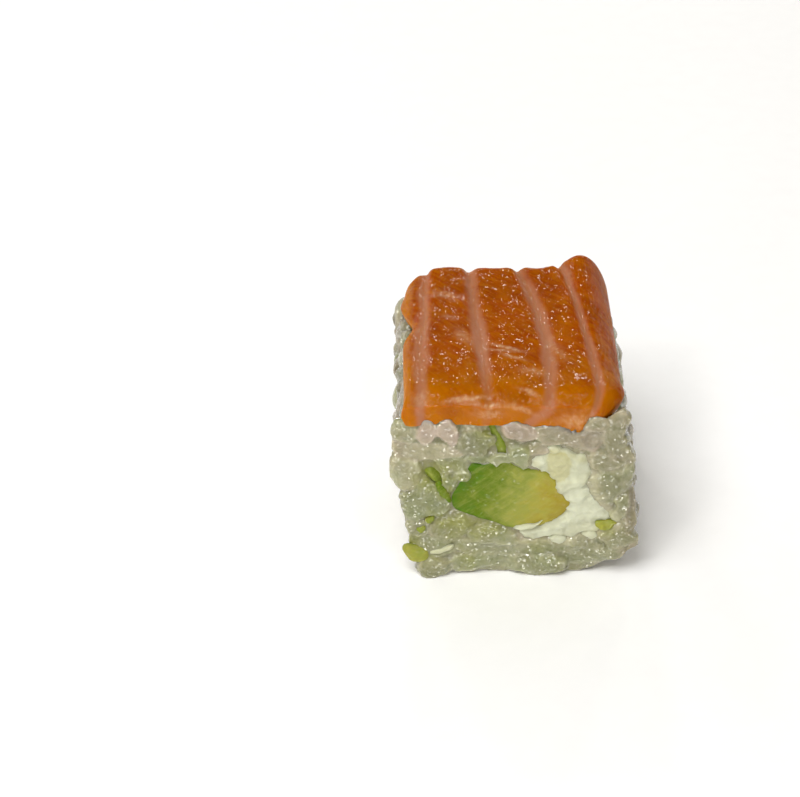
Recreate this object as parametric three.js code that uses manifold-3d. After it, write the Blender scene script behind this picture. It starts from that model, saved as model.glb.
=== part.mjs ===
// One cut piece of an inside-out maki roll: sticky rice pressed round a strip of avocado and a line of
// cream cheese, with a slice of raw salmon laid over the top. The roll's axis runs along Y, and both ends
// are knife cuts, so every layer shows at the front (-Y) and at the back (+Y). Millimetres, +Z up, with
// the origin at the middle of the footprint.
import * as THREE from "three";
import Module from "manifold-3d";
import { mergeVertices } from "three/addons/utils/BufferGeometryUtils.js";

// ---- Driving dimensions ----
const ROLL_LENGTH = 34.8; // from knife cut to knife cut, along Y
const ROLL_WIDTH = 38; // over the outermost grains, along X
const MIDDLE_X = 0.4; // middle of that width in the sections below
const RICE_TOP = 30; // height of the rice under the salmon
const GAP = 0.3; // clearance between touching layers
const THROUGH = 8; // extra length of a filling's shape where it cuts its way through the rice
// How far the cut ends of each layer, and of the rice's core, lie behind the outermost grains.
const SET_BACK = { rice: 1.2, avocado: 0.7, sliver: 0.9, cheese: 0.9, salmon: 0.3 };

const GRAIN = { long: 5.4, wide: 3.0, thick: 2.6, spread: 0.14 }; // one cooked short grain
const FACE_GRAINS = { tried: 64, fromEdge: 1.2, fromFilling: 1.1, unevenness: 0.3 }; // on each cut
const FLANK_GRAINS = { count: 62, from: 11, below: 1.4, fromCut: 1.3 }; // on each flank
const GRAIN_SEED = 20;
const SMEAR = { x: -14.6, z: 5.2, radius: 2.2, thick: 0.9 }; // avocado that the knife left on the cut

const SALMON = {
  thick: 4.1,
  leftEnd: 3.1, // thickness at the two ends of the slice
  rightEnd: 2.2,
  bend: 2.6, // radius of its underside where it turns down over the rice
  flatLeft: [14.8, 10.8], // half-lengths of its flat top, at the front and at the back
  flatRight: [11.6, 10.3],
  turnLeft: [24, 84], // degrees that its ends turn down, at the front and at the back
  turnRight: [50, 84],
  groove: 0.6, // depth of the valley along each seam of fat
  hump: { x: 10.8, rise: 2.5, width: 3.2, reach: 0.34 }, // the muscle that bulges at the back
  rim: { cut: 0.9, reach: 0.07 }, // rounding of its top edge at both cuts
  tip: { cut: 0.8, from: 0.94 }, // and at its left and right ends
  wave: 0.25, // unevenness of its cut edges
  lip: { x: 7.5, drop: 2.1, width: 5, reach: 0.04 }, // where its front edge hangs over the rice
  waist: { depth: 0.6, cut: 0.9, reach: 0.12 }, // where its left end is drawn in
  corner: { cut: 2.3, reach: 0.1 }, // how its front right corner is rounded off
  rows: { across: 38, along: 10 },
};
// The seams of fat: centre at the front, slope and curve towards the back, and width.
const SEAMS = [
  { at: -14.2, slope: 1.7, curve: 0, width: 2.4 },
  { at: -4.2, slope: -1.9, curve: 0, width: 2.2 },
  { at: 4.8, slope: 2.0, curve: -4.9, width: 2.1 },
  { at: 11.9, slope: -0.2, curve: -3.1, width: 1.4 },
];

// Sections across the roll, as [x, z], anticlockwise as seen from the front.
const RICE_SECTION = [
  [0, -1.0], [9.5, -0.8], [14.4, 1.4], [17.6, 4.4], [18.4, 7.4], [17.8, 13], [17.0, 20], [15.6, 26],
  [12.8, 29.3], [7, RICE_TOP], [-7, RICE_TOP], [-13.6, 29.8], [-16.6, 27.6], [-17.6, 23], [-16.8, 16],
  [-15.8, 9], [-15.2, 4.4], [-13.4, 0.6], [-9.5, -0.9],
];
// The blade of green rim that stands on the avocado reaches up to the salmon.
const AVOCADO_SECTION = [
  [1.0, 8.8], [4.6, 9.8], [7.4, 12.0], [8.3, 14.4], [6.4, 17.6], [4.2, 20.0], [1.6, 20.8], [-0.8, 22.0],
  [-1.6, 24.6], [-2.8, 27.6], [-3.7, 29.2], [-4.5, 29.0], [-4.1, 26.8], [-3.3, 24.2], [-3.4, 22.5],
  [-5.0, 21.8], [-7.0, 21.8], [-8.5, 18.4], [-9.9, 15.4], [-9.0, 12.6], [-6.2, 11.3], [-2.6, 9.8],
];
const CHEESE_SECTION = [
  [1.2, 7.0], [5.6, 7.2], [8.6, 7.2], [11.2, 9.0], [14.2, 9.0], [15.6, 11.0], [13.0, 13.6],
  [11.6, 16.8], [11.2, 20.0], [9.6, 22.8], [6.6, 24.3], [4.0, 24.1], [2.5, 22.0], [4.6, 16.0],
  [3.4, 11.6],
];
const SLIVER_SECTION = [
  [-11.0, 18.2], [-11.3, 19.8], [-12.8, 21.2], [-13.9, 20.6], [-13.4, 19.0], [-12.1, 17.8],
];

// How far a face may move when the solids are thinned out.
const FINE = 0.02;
const COARSE = 0.03;

const wasm = await Module();
wasm.setup();

// ---- Small helpers ----
const lerp = (a, b, t) => a + (b - a) * t;
const bell = (d) => Math.exp(-d * d);

// A repeatable stream of numbers from 0 to 1.
function randomStream(seed) {
  let state = seed >>> 0;
  return () => {
    state = (state + 0x6d2b79f5) >>> 0;
    let r = Math.imul(state ^ (state >>> 15), state | 1);
    r ^= r + Math.imul(r ^ (r >>> 7), r | 61);
    return ((r ^ (r >>> 14)) >>> 0) / 4294967296;
  };
}

// The n-th of a series of evenly spread points in the unit square.
const spreadPoint = (n) => [(0.5 + n * 0.7548776662) % 1, (0.5 + n * 0.5698402910) % 1];

// A three.js geometry as a manifold solid, its shared corners merged.
function solidOf(geometry) {
  const bare = new THREE.BufferGeometry();
  bare.setAttribute("position", geometry.getAttribute("position").clone());
  bare.setIndex(geometry.index);
  const merged = mergeVertices(bare, 1e-4);
  const corners = [];
  const index = merged.index.array;
  for (let i = 0; i < index.length; i += 3) {
    const [a, b, c] = [index[i], index[i + 1], index[i + 2]];
    if (a !== b && b !== c && a !== c) corners.push(a, b, c);
  }
  return new wasm.Manifold(
    new wasm.Mesh({
      numProp: 3,
      vertProperties: Float32Array.from(merged.attributes.position.array),
      triVerts: Uint32Array.from(corners),
    }),
  );
}

// A manifold solid as a three.js geometry.
function geometryOf(solid) {
  const mesh = solid.getMesh();
  const geometry = new THREE.BufferGeometry();
  geometry.setAttribute("position", new THREE.BufferAttribute(mesh.vertProperties, 3));
  geometry.setIndex(new THREE.BufferAttribute(mesh.triVerts, 1));
  geometry.computeVertexNormals();
  return geometry;
}

// The largest of a solid's separate bodies, without the scraps that a cut can leave.
function largestBody(solid) {
  const bodies = solid.decompose();
  return bodies.sort((a, b) => b.volume() - a.volume())[0];
}

// ---- Sections ----

// The smooth closed curve through the points of a section.
function curveOf(section) {
  const points = section.map(([x, z]) => new THREE.Vector3(x, 0, z));
  return new THREE.CatmullRomCurve3(points, true, "centripetal");
}

// Points along that curve, a few for each point of the section, moved outwards by grow.
function outline(section, grow, perPoint) {
  const curve = curveOf(section);
  const count = section.length * perPoint;
  return Array.from({ length: count }, (_, i) => {
    const point = curve.getPoint(i / count);
    const along = curve.getTangent(i / count);
    return new THREE.Vector2(point.x + along.z * grow, point.z - along.x * grow);
  });
}

function inside(points, x, z) {
  let odd = false;
  points.forEach((a, i) => {
    const b = points[(i + 1) % points.length];
    if (a.y > z !== b.y > z && x < ((b.x - a.x) * (z - a.y)) / (b.y - a.y) + a.x) odd = !odd;
  });
  return odd;
}

// A bar that runs along Y with this section. Rings on its ends, drawn round a middle that sees the whole
// outline, let them swell and dent, as endRelief says from x, z and the share of the way out.
function bar(section, { grow = 0, length, middle, perPoint = 2, spans = 2, rings = 2, endRelief }) {
  const points = outline(section, grow, perPoint);
  const steps = points.length;
  const profile = [new THREE.Vector2(0, -1)];
  for (let i = 1; i < rings; i++) profile.push(new THREE.Vector2(i / rings, -1));
  for (let i = 0; i <= spans; i++) profile.push(new THREE.Vector2(1, -1 + (2 * i) / spans));
  for (let i = rings - 1; i >= 0; i--) profile.push(new THREE.Vector2(i / rings, 1));
  const geometry = new THREE.LatheGeometry(profile, steps);
  const position = geometry.getAttribute("position");
  for (let i = 0; i < position.count; i++) {
    const column = Math.floor(i / profile.length) % steps;
    const [share, end] = [profile[i % profile.length].x, profile[i % profile.length].y];
    const edge = points[(steps - column) % steps];
    const x = lerp(middle[0], edge.x, share);
    const z = lerp(middle[1], edge.y, share);
    const relief = Math.abs(end) === 1 ? Math.sign(end) * endRelief(x, z, share) : 0;
    position.setXYZ(i, x, (end * length) / 2 + relief, z);
  }
  return solidOf(geometry);
}

// ---- Fillings ----

// The avocado's cut ends lie a little back from the rice, and lean in towards its green side.
function avocado(grow = 0, longer = 0) {
  return bar(AVOCADO_SECTION, {
    grow,
    length: ROLL_LENGTH - 2 * SET_BACK.avocado + longer,
    middle: [-1.4, 20.6],
    endRelief: (x, z, share) => 0.035 * x + 0.3 * (1 - share * share),
  });
}

// The cream cheese is soft, so its ends are squeezed out in low folds.
function creamCheese(grow = 0, longer = 0) {
  return bar(CHEESE_SECTION, {
    grow,
    length: ROLL_LENGTH - 2 * SET_BACK.cheese + longer,
    middle: [9.1, 13.3],
    perPoint: 3,
    spans: 3,
    rings: 4,
    endRelief: (x, z, share) =>
      (1 - share ** 4) * (0.4 + 0.35 * Math.sin(1.1 * x + 0.5 * z) * Math.cos(0.8 * z)),
  });
}

// A thin second strip of avocado, from the green rim under the skin.
function avocadoSliver(grow = 0, longer = 0) {
  return bar(SLIVER_SECTION, {
    grow,
    length: ROLL_LENGTH - 2 * SET_BACK.sliver + longer,
    middle: [-12.5, 19.5],
    endRelief: (x, z, share) => 0.4 * (1 - share * share),
  });
}

// ---- Salmon ----

// How far a point lies from a seam of fat, as a share of the seam's half-width.
function seamDistance(across, depth, seam) {
  const centre = seam.at + seam.slope * depth + seam.curve * depth * depth;
  return (across - centre) / (seam.width / 2);
}

// A point of the slice. side runs from -1 at the left end to 1 at the right, depth from 0 at the front
// to 1 at the back, and level from 0 on the underside to 1 on top. grow thickens it all round.
function salmonPoint(side, depth, level, grow = 0) {
  const left = side < 0;
  const { waist, corner, hump, lip, rim, tip, wave } = SALMON;
  const drawnIn = left
    ? waist.cut * bell((depth - waist.depth) / waist.reach)
    : corner.cut * Math.max(0, 1 - depth / corner.reach) ** 2;
  const flat = lerp(...(left ? SALMON.flatLeft : SALMON.flatRight), depth) - drawnIn;
  const turn = THREE.MathUtils.degToRad(lerp(...(left ? SALMON.turnLeft : SALMON.turnRight), depth));
  const outer = SALMON.bend + SALMON.thick;
  const reach = flat + outer * turn + grow;
  const across = Math.abs(side) * reach;
  const curled = Math.max(0, across - flat);
  const signed = Math.sign(side) * across;

  const endThick = left ? SALMON.leftEnd : SALMON.rightEnd;
  let thick = lerp(SALMON.thick, endThick, (curled / (reach - flat)) ** 2);
  for (const seam of SEAMS) thick -= SALMON.groove * bell(1.3 * seamDistance(signed, depth, seam));
  thick += hump.rise * bell((signed - hump.x) / hump.width) * bell((1 - depth) / hump.reach);
  thick -= rim.cut * Math.max(0, 1 - Math.min(depth, 1 - depth) / rim.reach) ** 2;
  thick -= (tip.cut * Math.max(0, Math.abs(side) - tip.from)) / (1 - tip.from);

  const droop = lip.drop * bell((signed - lip.x) / lip.width) * bell(depth / lip.reach);
  const height = lerp(-droop - grow, thick + grow, level);
  const radius = SALMON.bend + height;
  const x = Math.sign(side) * (Math.min(across, flat) + radius * Math.sin(curled / outer));
  const uneven = wave * (Math.sin(0.55 * signed + 1) + 0.6 * Math.sin(1.3 * signed));
  const edge = ROLL_LENGTH / 2 - SET_BACK.salmon + uneven * (depth - 0.5) + grow;
  const z = RICE_TOP + GAP - SALMON.bend + radius * Math.cos(curled / outer);
  return new THREE.Vector3(x, lerp(-edge, edge, depth), z);
}

// A slab bent over the rice, its rows closer together towards its edges.
function salmonSlice(grow = 0) {
  const crowding = 0.48 * Math.PI;
  const geometry = new THREE.BoxGeometry(2, 1, 1, SALMON.rows.across, SALMON.rows.along, 1);
  const position = geometry.getAttribute("position");
  for (let i = 0; i < position.count; i++) {
    const side = Math.sin(position.getX(i) * crowding) / Math.sin(crowding);
    const depth = 0.5 + 0.5 * Math.sin(position.getY(i) * Math.PI);
    const point = salmonPoint(side, depth, position.getZ(i) + 0.5, grow);
    position.setXYZ(i, point.x, point.y, point.z);
  }
  return solidOf(geometry).simplify(FINE);
}

// ---- Rice ----

// One cooked grain, lying at a point with its length along a direction and its flat side to the normal.
function grain(point, along, normal, size) {
  const sides = 6;
  // The few sides are set a little out, so that the grain is as thick as a round one.
  const scale = (size / 2) * (1 / Math.cos(Math.PI / sides));
  const across = new THREE.Vector3().crossVectors(along, normal).normalize();
  const up = new THREE.Vector3().crossVectors(across, along).normalize();
  const matrix = new THREE.Matrix4().makeBasis(
    across.multiplyScalar(GRAIN.wide * scale),
    along.clone().multiplyScalar((GRAIN.long * size) / 2),
    up.multiplyScalar(GRAIN.thick * scale),
  );
  matrix.setPosition(point);
  return solidOf(new THREE.SphereGeometry(1, sides, 3).applyMatrix4(matrix));
}

// A direction in the plane of a surface, tipped a little out of it.
function lyingDirection(normal, random) {
  const side = new THREE.Vector3(0.3, 0.2, 1).cross(normal).normalize();
  const turned = side.applyAxisAngle(normal, random() * Math.PI);
  return turned.addScaledVector(normal, (random() - 0.5) * 0.5).normalize();
}

const unevenSize = (random) => 1 + (random() * 2 - 1) * GRAIN.spread;

// Grains spread over both knife cuts, clear of the fillings.
function faceGrains(random) {
  const { tried, fromEdge, fromFilling, unevenness } = FACE_GRAINS;
  const edge = outline(RICE_SECTION, -fromEdge, 3);
  const sections = [AVOCADO_SECTION, CHEESE_SECTION, SLIVER_SECTION];
  const fillings = sections.map((section) => outline(section, fromFilling, 3));
  const grains = [];
  for (const end of [-1, 1]) {
    const normal = new THREE.Vector3(0, end, 0);
    for (let n = 0; n < tried; n++) {
      const [a, b] = spreadPoint(n + (end + 1) * tried);
      const [x, z] = [(a - 0.5) * ROLL_WIDTH, b * RICE_TOP];
      const along = lyingDirection(normal, random);
      const size = unevenSize(random);
      const y = end * (ROLL_LENGTH / 2 - SET_BACK.rice - (random() - 0.5) * unevenness);
      if (!inside(edge, x, z) || fillings.some((filling) => inside(filling, x, z))) continue;
      grains.push(grain(new THREE.Vector3(x, y, z), along, normal, size));
    }
  }
  return grains;
}

// Grains spread over the two flanks, from the salmon's ends down to the floor.
function flankGrains(random) {
  const { count, from, below, fromCut } = FLANK_GRAINS;
  const section = curveOf(RICE_SECTION).getSpacedPoints(240);
  const grains = [];
  for (const flank of [-1, 1]) {
    const line = section.filter((p) => p.x * flank > from && p.z < RICE_TOP - below);
    line.sort((p, q) => p.z - q.z);
    for (let n = 0; n < count; n++) {
      const [a, b] = spreadPoint(n + (flank + 1) * count);
      const place = Math.min(line.length - 2, Math.floor(a * line.length));
      const [here, next] = [line[place], line[place + 1]];
      const normal = new THREE.Vector3(next.z - here.z, 0, here.x - next.x).normalize();
      if (normal.x * flank < 0) normal.negate();
      const y = (b - 0.5) * (ROLL_LENGTH - 2 * fromCut);
      const along = lyingDirection(normal, random);
      grains.push(grain(new THREE.Vector3(here.x, y, here.z), along, normal, unevenSize(random)));
    }
  }
  return grains;
}

// The smear that lies on the front cut, low on the left.
function smear() {
  const geometry = new THREE.SphereGeometry(1, 10, 5);
  geometry.scale(SMEAR.radius, SMEAR.thick, SMEAR.radius);
  geometry.translate(SMEAR.x, -ROLL_LENGTH / 2 + SMEAR.thick, SMEAR.z);
  return solidOf(geometry);
}

// The rice: a pressed core with grains fused on, trimmed where the knife and the board met it, and
// hollowed for the fillings.
function rice() {
  const random = randomStream(GRAIN_SEED);
  const core = bar(RICE_SECTION, {
    length: ROLL_LENGTH - 2 * SET_BACK.rice,
    middle: [0, RICE_TOP / 2],
    spans: 4,
    rings: 3,
    endRelief: (x, z) => 0.35 * Math.sin(0.7 * x + 1) * Math.cos(0.6 * z),
  });
  const heap = wasm.Manifold.union([core, smear(), ...faceGrains(random), ...flankGrains(random)]);
  const room = new THREE.BoxGeometry(ROLL_WIDTH, ROLL_LENGTH, 2 * RICE_TOP);
  room.translate(MIDDLE_X, 0, RICE_TOP);
  const fillings = [avocado, creamCheese, avocadoSliver].map((filling) => filling(GAP, THROUGH));
  const trimmed = heap.intersect(solidOf(room)).subtract(wasm.Manifold.union(fillings));
  return largestBody(trimmed.subtract(salmonSlice(GAP)).simplify(COARSE));
}

// ---- The piece ----

const COLOURS = {
  rice: { color: 0xa8a68a, roughness: 0.35 },
  salmon: { color: 0xa75405, roughness: 0.25 },
  avocado: { color: 0x9a9a44, roughness: 0.45 },
  creamCheese: { color: 0xcdcfb3, roughness: 0.5 },
};

function layer(name, solid, look) {
  const geometry = geometryOf(solid).translate(-MIDDLE_X, 0, 0);
  const mesh = new THREE.Mesh(geometry, new THREE.MeshStandardMaterial({ ...look, metalness: 0 }));
  mesh.name = name;
  return mesh;
}

// The soft cheese takes the avocado's print where the two lie together.
const pressedCheese = largestBody(creamCheese().subtract(avocado(GAP, THROUGH)));

const piece = new THREE.Group();
piece.add(layer("rice", rice(), COLOURS.rice));
piece.add(layer("salmon", salmonSlice(), COLOURS.salmon));
piece.add(layer("avocado", avocado(), COLOURS.avocado));
piece.add(layer("avocado_sliver", avocadoSliver(), COLOURS.avocado));
piece.add(layer("cream_cheese", pressedCheese, COLOURS.creamCheese));

export default piece;
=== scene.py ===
"""One cut piece of an inside-out salmon, avocado and cream cheese roll, on a pale table."""

import math
import random

import bmesh
import bpy
from bpy.props import FloatProperty, FloatVectorProperty, PointerProperty
from mathutils import Matrix, Vector, noise
from mathutils.kdtree import KDTree


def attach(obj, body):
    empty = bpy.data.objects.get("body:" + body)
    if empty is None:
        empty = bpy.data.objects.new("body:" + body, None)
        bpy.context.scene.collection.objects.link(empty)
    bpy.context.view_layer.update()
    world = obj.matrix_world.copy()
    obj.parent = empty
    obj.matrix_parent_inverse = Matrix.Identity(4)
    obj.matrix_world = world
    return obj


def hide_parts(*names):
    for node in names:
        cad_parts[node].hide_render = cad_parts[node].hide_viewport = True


bl_info = {
    "name": "Maki Sushi Roll Piece",
    "version": (1, 0, 0),
    "blender": (4, 5, 0),
    "location": "View3D > Sidebar > Sushi",
    "description": "Dresses one cut piece of an inside-out salmon roll",
    "category": "Object",
}

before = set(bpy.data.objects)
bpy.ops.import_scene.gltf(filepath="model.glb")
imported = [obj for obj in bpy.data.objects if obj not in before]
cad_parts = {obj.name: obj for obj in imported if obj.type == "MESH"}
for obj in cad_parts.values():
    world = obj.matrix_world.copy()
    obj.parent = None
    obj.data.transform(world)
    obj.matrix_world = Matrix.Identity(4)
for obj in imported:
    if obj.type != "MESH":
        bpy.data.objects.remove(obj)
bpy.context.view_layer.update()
MM = 0.001
# Without a seed of its own the vector noise differs from one start of the program to the next.
noise.seed_set(7)

# Lengths below are in millimetres: half the piece's length from cut to cut, the top of the rice,
# and how far the whole piece is shifted at the end, as its solids are.
HALF, RICE_TOP, MIDDLE_X = 17.4, 30.0, 0.4
# How far each end stands back from the knife cut, and the rice at the front out again.
RICE_BACK, AVOCADO_BACK, CHEESE_BACK, SLIVER_BACK = 1.2, 0.7, 0.9, 0.9
FRONT_OUT = 0.35
# How far rice and cheese may stand out at the cuts and at the sides.
CUT_LIMIT, SIDE_LIMIT = 17.35, 18.9
# The slice of salmon: thickness, gap under it, and radius of its bend over the shoulders.
SLICE_THICK, SLICE_GAP, SLICE_BEND = 4.1, 0.3, 2.6

# Sections run anticlockwise as seen from the front cut.
RICE_SECTION = [
    (0, -1.0), (9.5, -0.8), (14.4, 1.4), (17.6, 4.4), (18.4, 7.4), (17.8, 13), (17.0, 20),
    (15.6, 26), (12.8, 29.3), (7, 30), (-7, 30), (-13.6, 29.8), (-16.6, 27.6), (-17.6, 23),
    (-16.8, 16), (-15.8, 9), (-15.2, 4.4), (-13.4, 0.6), (-9.5, -0.9),
]
AVOCADO_SECTION = [
    (1.0, 8.8), (4.6, 9.8), (7.4, 12.0), (8.3, 14.4), (6.4, 17.6), (4.2, 20.0), (1.6, 20.8),
    (-0.8, 22.0), (-1.6, 24.6), (-2.8, 27.6), (-3.7, 29.2), (-4.5, 29.0), (-4.1, 26.8),
    (-3.3, 24.2), (-3.4, 22.5), (-5.0, 21.8), (-7.0, 21.8), (-8.5, 18.4), (-9.9, 15.4),
    (-9.0, 12.6), (-6.2, 11.3), (-2.6, 9.8),
]
CHEESE_SECTION = [
    (1.2, 7.0), (5.6, 7.2), (8.6, 7.2), (11.2, 9.0), (14.2, 9.0), (15.6, 11.0), (13.0, 13.6),
    (11.6, 16.8), (11.2, 20.0), (9.6, 22.8), (6.6, 24.3), (4.0, 24.1), (2.5, 22.0), (4.6, 16.0),
    (3.4, 11.6),
]
SLIVER_SECTION = [
    (-11.0, 18.2), (-11.3, 19.8), (-12.8, 21.2), (-13.9, 20.6), (-13.4, 19.0), (-12.1, 17.8),
]


def rows(own, table):
    """Splits each row into its own values and its outline, a list of (x, z) points."""
    return [(*row[:own], list(zip(row[own::2], row[own + 1 :: 2]))) for row in table]


# Grains pressed flat on the front cut: how proud, how milky and how warm in colour each is, then
# its outline.
PRESSED_GRAINS = rows(3, [
    (0.8, 0.35, 0.3, -18.6, 28.6, -18.1, 29.6, -16.6, 29.8, -15, 28.8, -15.1, 26.9, -15.8, 26,
     -17.9, 26.2, -18.7, 27.3),
    (1.3, 0.8, 0.95, -14.9, 28.3, -13.9, 30.4, -12.9, 30.2, -12.2, 28.8, -12.2, 27.6, -12.6, 26.5,
     -13.5, 25.6, -14.4, 26, -15.1, 27),
    (1.4, 0.8, 0.95, -12.2, 28.7, -10.5, 30.5, -9.7, 29.8, -8.9, 28.1, -8.9, 27.1, -9.5, 25.4,
     -10.3, 25.8, -11.6, 26.8, -12.2, 27.6),
    (2, 0, 0.3, -9, 26, -8.2, 27.7, -6.5, 28.9, -5.1, 28.1, -3.3, 26.9, -4.2, 25.1, -4.8, 23.9,
     -6.2, 23.5, -7.8, 24.1, -8.9, 24.8),
    (1, 0.3, 0.6, -8, 29.4, -7.1, 30.3, -6.4, 29.5, -6.5, 28.4, -7.5, 28.2),
    (0.5, 0, 0.9, -6.4, 30.2, -4.9, 29.9, -4.8, 28.6, -5.6, 28.3, -6.4, 28.9),
    (1.2, 0.1, 0, -7.8, 23.5, -4.5, 23.5, -4.6, 22.5, -6.2, 22, -7.3, 22.6),
    (1.3, 0.2, 0, -4.5, 23, -2.4, 24.2, -0.6, 23.5, -0.6, 22.4, -2.3, 22.4, -3.1, 21.2, -3.7, 22),
    (0.7, 0.6, 0.5, -18.4, 25.8, -15, 25.7, -12.3, 25.8, -8.9, 24.8, -8.1, 23.9, -9.7, 23.3,
     -11.9, 22.9, -14.4, 22.4, -17.1, 22.9, -18.5, 23.9),
    (0.9, 0.2, 0.1, -12.5, 22.5, -8.9, 23.7, -8.1, 23.4, -7.3, 21.2, -8.8, 20.1, -11, 20.1,
     -11.8, 21.6),
    (1.2, 0.6, 0.2, -18.9, 22.1, -18.1, 23.1, -16.2, 23, -14.3, 21.7, -14.4, 19.2, -15.7, 16.9,
     -17.3, 16.9, -18.7, 18.7, -19.1, 20.7),
    (1.2, 0.25, 0, -8.8, 20.7, -7.3, 20.9, -6.7, 19.9, -7.3, 18.6, -8.7, 18.9, -9.4, 19.9),
    (1.1, 0, 0, -10.9, 19.7, -9.2, 19.2, -8.9, 17.7, -9.9, 16.4, -11.1, 17.6, -11.5, 18.7),
    (1.3, 0.12, 0, -17.3, 16.3, -15.8, 16.6, -13.8, 19.2, -12.3, 18.2, -10.5, 16.2, -9.9, 14,
     -10.3, 12.5, -11.6, 11.5, -13.2, 11.5, -15, 10.7, -16.4, 11.2, -17.2, 14.3),
    (0.7, 0.25, 0.15, -16.4, 10.7, -13.8, 10.7, -12.8, 8.9, -13.8, 7.5, -15.7, 7.5, -16.4, 8.9),
    (1.1, 0.2, 0.25, -12.8, 9.9, -10.8, 11.2, -7.9, 11.8, -5.9, 10.7, -6.9, 8.8, -9.4, 6.5,
     -11.4, 6.8, -13, 8.1),
    (1.1, 0.25, 0.1, -6.8, 8.9, -4.7, 10.2, -2.7, 9.7, -0.1, 8.4, 0.3, 6.3, -2.8, 6.5, -5.4, 6.5,
     -7, 7.5),
    (0.5, 0.3, 0.1, -15.8, 7.4, -12.6, 7.6, -9.8, 6.2, -9, 4.6, -12, 3.6, -15.2, 4.2),
    (0.5, 0.3, 0.1, -8.6, 6.7, -5.4, 7.2, -2.8, 6.3, 0.3, 6.3, 0.4, 3.9, -3.8, 3.8, -6.8, 4.1,
     -8.8, 5.2),
    (0.5, 0.25, 0.05, -9.1, 3.9, -5.8, 3.9, -1.8, 4.1, 0.2, 3.6, 0.3, 0.9, -2.5, 1.2, -5.7, 0.9,
     -7.7, 0.5, -9.3, 1),
    (2, 0.2, 0.3, -14.8, 1.9, -13.7, 3.6, -11.3, 3.6, -9.1, 2.5, -9.7, 0.5, -11.9, -0.8,
     -14.1, -0.4),
    (1.2, 0.6, 1, -2.6, 29.3, -1.4, 29.9, 0.4, 29.6, 2, 28.9, 2.8, 27.7, 2.2, 26.4, 0.5, 26,
     -1.3, 26.6, -2.5, 27.7),
    (1.4, 0.15, 0, -1.3, 24.9, -0.1, 25.4, 1.4, 24.7, 1.6, 22.9, 1.1, 20.3, 0.3, 21.3, -1.2, 23.1),
    (0.9, 0.25, 0.6, 1.8, 25.6, 4, 25.9, 4.4, 24.1, 2.4, 23.3, 1.7, 24.2),
    (1.5, 0.3, 0.5, 9.6, 28.6, 10.2, 30.4, 11.6, 30.9, 12.9, 30.2, 12.9, 28.9, 11.2, 28.1),
    (1, 0.4, 0.7, 2.4, 28.7, 4.5, 29.4, 7.4, 29.7, 10.4, 28.9, 12.3, 29.1, 12.5, 25.9, 11.4, 24.4,
     9.1, 24.4, 6.6, 25.6, 3.6, 25.9),
    (1.1, 0.15, 0.5, 12.3, 30.2, 15.3, 30, 15.7, 29.1, 15.4, 27.5, 16.1, 25.2, 16, 23.8, 15, 23,
     13.4, 23.9, 12.5, 25.9),
    (1.3, 0.25, 0.5, 13, 30.6, 14, 31.8, 15.4, 31.8, 16.3, 30.6, 15.8, 29.2, 13.6, 29.4),
    (1.4, 0.15, 0.5, 15, 24.6, 15.8, 25.6, 16.8, 24.8, 17.2, 23.2, 16.4, 22.2, 15.4, 22.8),
    (1.1, 0.2, 0.4, 10.8, 24.2, 13.4, 23.9, 14.7, 22.8, 16.2, 22.1, 14, 21, 12.8, 20.5, 11.2, 20.9,
     10.7, 22.6),
    (1.2, 0.15, 0.25, 10.6, 18.8, 12.8, 20.5, 16.3, 21.4, 16.9, 23.1, 17.2, 18, 16.3, 16.6,
     15.1, 15.6, 14.1, 13.8, 13.3, 13.6, 11.4, 15.4, 10.7, 17.2),
    (1.5, 0.1, 0.2, 14.8, 15.1, 16, 15.9, 16.7, 16.4, 17.2, 15.1, 16.6, 12.4, 15.5, 10.8, 14.6, 11,
     14.1, 12.2, 15.1, 13.7),
    # This grain at the right edge is made clear and warm as painted shade, where that side turns
    # away from the light.
    (0.6, 0, 0.75, 17, 17.7, 17.8, 16.1, 18.1, 13.5, 18.1, 8.7, 16.9, 8.1, 16.5, 11.4, 16.8, 15.1),
    (1.2, 0.15, 0.35, 15.5, 10.8, 16.7, 11.1, 18.3, 8.4, 19, 7.2, 17, 5.9, 15.8, 5.3, 13.7, 6.4,
     12.4, 8.1, 13.5, 9.2),
    (1, 0.1, 0.6, 15.8, 5.1, 17, 5.7, 18.9, 7.3, 19.3, 6.3, 17.1, 4.5, 16.7, 3.8),
    (0.6, 0.2, 0.2, 8.1, 7.2, 10.7, 8.2, 12.4, 8.1, 13.7, 6.4, 12.5, 5.1, 9.2, 5.3, 7.5, 6.2),
    (0.5, 0.22, 0.15, -0.9, 6.6, 1.8, 6.9, 5.5, 6.9, 7.5, 6.4, 9.3, 5.3, 5.6, 3.7, 1.5, 3.7,
     -0.8, 4.8),
    (0.5, 0.15, 0.2, 8, 4.6, 12, 5.4, 15.8, 5.1, 16.6, 3.9, 14.4, 2.6, 9.3, 1.6, 7.2, 2.6),
    (1.4, 0.2, 0.1, -0.6, 3.5, 3, 3.9, 6.6, 3.6, 8.2, 2.6, 7.6, 1, 5.8, 0.2, 2.9, -0.6, 1.4, 0.4,
     -0.7, 0.8),
])
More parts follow.
